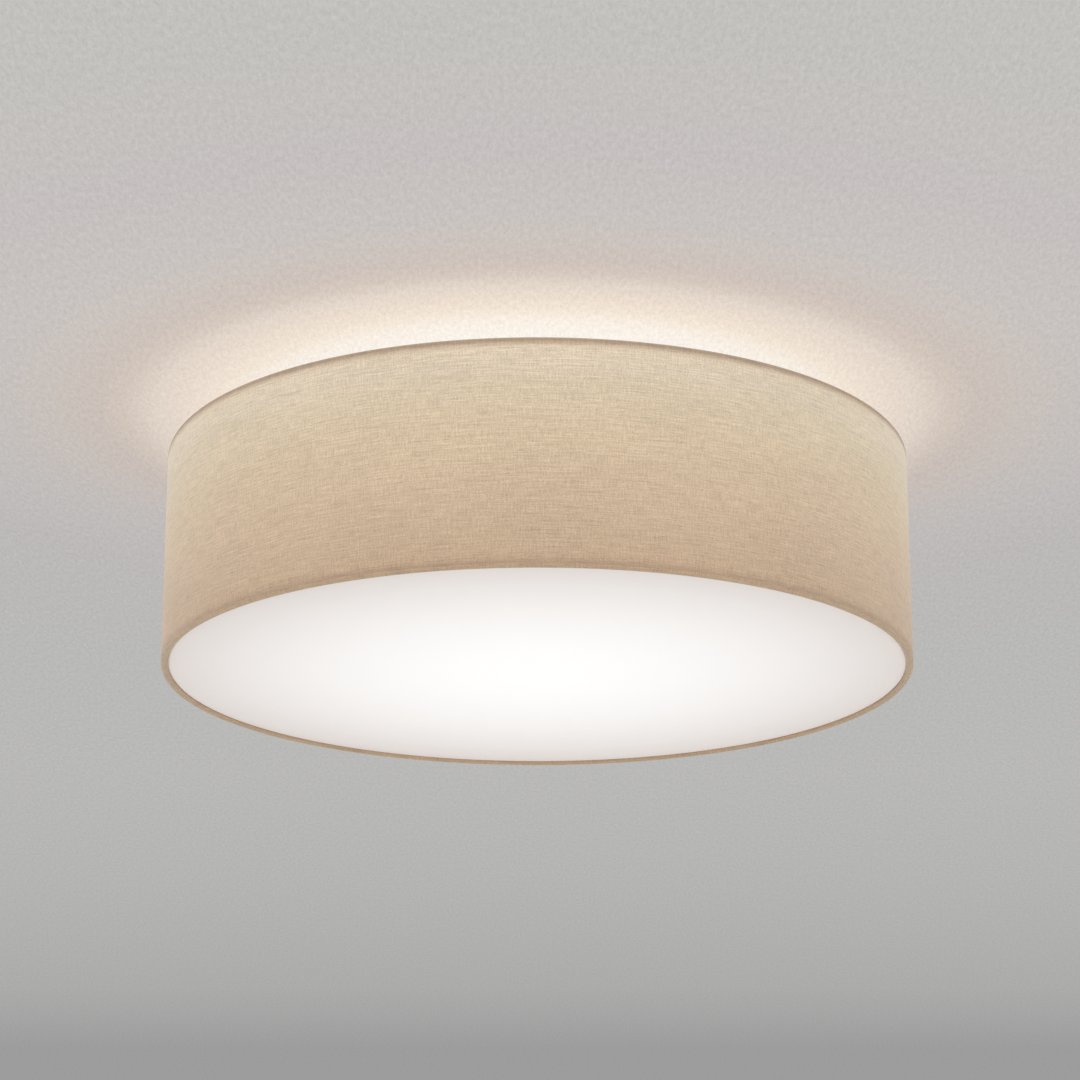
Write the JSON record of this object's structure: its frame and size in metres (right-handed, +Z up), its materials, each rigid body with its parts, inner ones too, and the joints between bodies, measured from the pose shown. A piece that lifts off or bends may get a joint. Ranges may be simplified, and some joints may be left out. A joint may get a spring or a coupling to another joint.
{
  "type": "flush mount ceiling light",
  "caption": "Drum ceiling light: fabric shade on rolled wire rims, opal diffuser below, star of screw-in lamps inside, hung from a three-armed ceiling bracket.",
  "frame": {"origin": "centre of the bracket's face on the ceiling plane", "axes": "+Z up into the ceiling along the drum's axis, -Y towards the viewer of the picture"},
  "size_m": [0.5, 0.5005, 0.18],
  "materials": {
    "shade_fabric": "fine slubbed weave, matt",
    "shade_lining": "matt translucent",
    "white_wire": "white powder coat",
    "white_steel": "white powder coat",
    "white_knob": "white lacquer, knurled",
    "opal_diffuser": "satin opal acrylic",
    "zinc_steel": "zinc plated",
    "black_rubber": "matt",
    "terminal_plastic": "moulded",
    "earth_sheath": "green and yellow sheath",
    "lead_sheath": "white silicone sheath",
    "white_plastic": "moulded",
    "ceramic_insert": "unglazed",
    "brass_contacts": "bright",
    "black_glass": "glassy black with a solder spot",
    "nickel_cap": "nickel plated",
    "lamp_plastic": "moulded white",
    "opal_globe": "satin opal"
  },
  "bodies": {
    "base": {"ceiling_bracket": "white_steel", "arm_inserts": "zinc_steel", "cable_grommet": "black_rubber", "terminal_block": "terminal_plastic", "terminal_screws": "zinc_steel", "earth_screw": "zinc_steel", "earth_lead": "earth_sheath", "wiring_cup": "white_steel", "cup_screws": "zinc_steel", "lead_bush": "white_plastic", "bracket_rivets": "zinc_steel", "holder_nipples": "zinc_steel", "nipple_nuts": "zinc_steel", "lampholder_bracket_1": "white_steel", "lampholder_cap_1": "white_plastic", "lampholder_insert_1": "ceramic_insert", "lampholder_shell_1": "brass_contacts", "lampholder_contact_1": "brass_contacts", "lampholder_body_1": "white_plastic", "lampholder_lead_1": "lead_sheath", "lampholder_bracket_2": "white_steel", "lampholder_cap_2": "white_plastic", "lampholder_insert_2": "ceramic_insert", "lampholder_shell_2": "brass_contacts", "lampholder_contact_2": "brass_contacts", "lampholder_body_2": "white_plastic", "lampholder_lead_2": "lead_sheath", "lampholder_bracket_3": "white_steel", "lampholder_cap_3": "white_plastic", "lampholder_insert_3": "ceramic_insert", "lampholder_shell_3": "brass_contacts", "lampholder_contact_3": "brass_contacts", "lampholder_body_3": "white_plastic", "lampholder_lead_3": "lead_sheath"},
    "shade": {"shade_fabric": "shade_fabric", "shade_lining": "shade_lining", "top_ring": "white_wire", "bottom_ring": "white_wire", "fixing_lugs": "white_steel"},
    "diffuser": {"diffuser": "opal_diffuser"},
    "lamp_tip_1": {"lamp_tip_1": "black_glass"},
    "lamp_1": {"lamp_cap_1": "nickel_cap", "lamp_body_1": "lamp_plastic", "lamp_globe_1": "opal_globe"},
    "lamp_tip_2": {"lamp_tip_2": "black_glass"},
    "lamp_2": {"lamp_cap_2": "nickel_cap", "lamp_body_2": "lamp_plastic", "lamp_globe_2": "opal_globe"},
    "lamp_tip_3": {"lamp_tip_3": "black_glass"},
    "lamp_3": {"lamp_cap_3": "nickel_cap", "lamp_body_3": "lamp_plastic", "lamp_globe_3": "opal_globe"},
    "thumbscrew_1": {"thumbscrew_1": "white_knob"},
    "thumbscrew_2": {"thumbscrew_2": "white_knob"},
    "thumbscrew_3": {"thumbscrew_3": "white_knob"}
  },
  "joints": [
    {"name": "shade_drop", "type": "slide", "parent": "base", "child": "shade", "axis": [0, 0, -1], "range_m": [0, 0.16]},
    {"name": "diffuser_lift", "type": "slide", "parent": "shade", "child": "diffuser", "axis": [0, 0, 1], "range_m": [0, 0.055]},
    {"name": "lamp_1_travel", "type": "slide", "parent": "base", "child": "lamp_tip_1", "axis": [0, 1, 0], "range_m": [0, 0.02177]},
    {"name": "lamp_1_unscrew", "type": "hinge", "parent": "lamp_tip_1", "child": "lamp_1", "pos_m": [0, 0, -0.078], "axis": [0, 1, 0], "range_deg": [0, 2160]},
    {"name": "lamp_2_travel", "type": "slide", "parent": "base", "child": "lamp_tip_2", "axis": [-0.866, -0.5, 0], "range_m": [0, 0.02177]},
    {"name": "lamp_2_unscrew", "type": "hinge", "parent": "lamp_tip_2", "child": "lamp_2", "pos_m": [0, 0, -0.078], "axis": [-0.866, -0.5, 0], "range_deg": [0, 2160]},
    {"name": "lamp_3_travel", "type": "slide", "parent": "base", "child": "lamp_tip_3", "axis": [0.866, -0.5, 0], "range_m": [0, 0.02177]},
    {"name": "lamp_3_unscrew", "type": "hinge", "parent": "lamp_tip_3", "child": "lamp_3", "pos_m": [0, 0, -0.078], "axis": [0.866, -0.5, 0], "range_deg": [0, 2160]},
    {"name": "thumbscrew_1_turn", "type": "hinge", "parent": "shade", "child": "thumbscrew_1", "pos_m": [0.20092, 0.116, -0.04], "axis": [0, 0, 1], "continuous": true},
    {"name": "thumbscrew_2_turn", "type": "hinge", "parent": "shade", "child": "thumbscrew_2", "pos_m": [-0.20092, 0.116, -0.04], "axis": [0, 0, 1], "continuous": true},
    {"name": "thumbscrew_3_turn", "type": "hinge", "parent": "shade", "child": "thumbscrew_3", "pos_m": [0, -0.232, -0.04], "axis": [0, 0, 1], "continuous": true}
  ],
  "couplings": [
    {"joint": "lamp_1_unscrew", "follows": "lamp_1_travel", "rad_per_m": 1731.4},
    {"joint": "lamp_2_unscrew", "follows": "lamp_2_travel", "rad_per_m": 1731.4},
    {"joint": "lamp_3_unscrew", "follows": "lamp_3_travel", "rad_per_m": 1731.4}
  ]
}
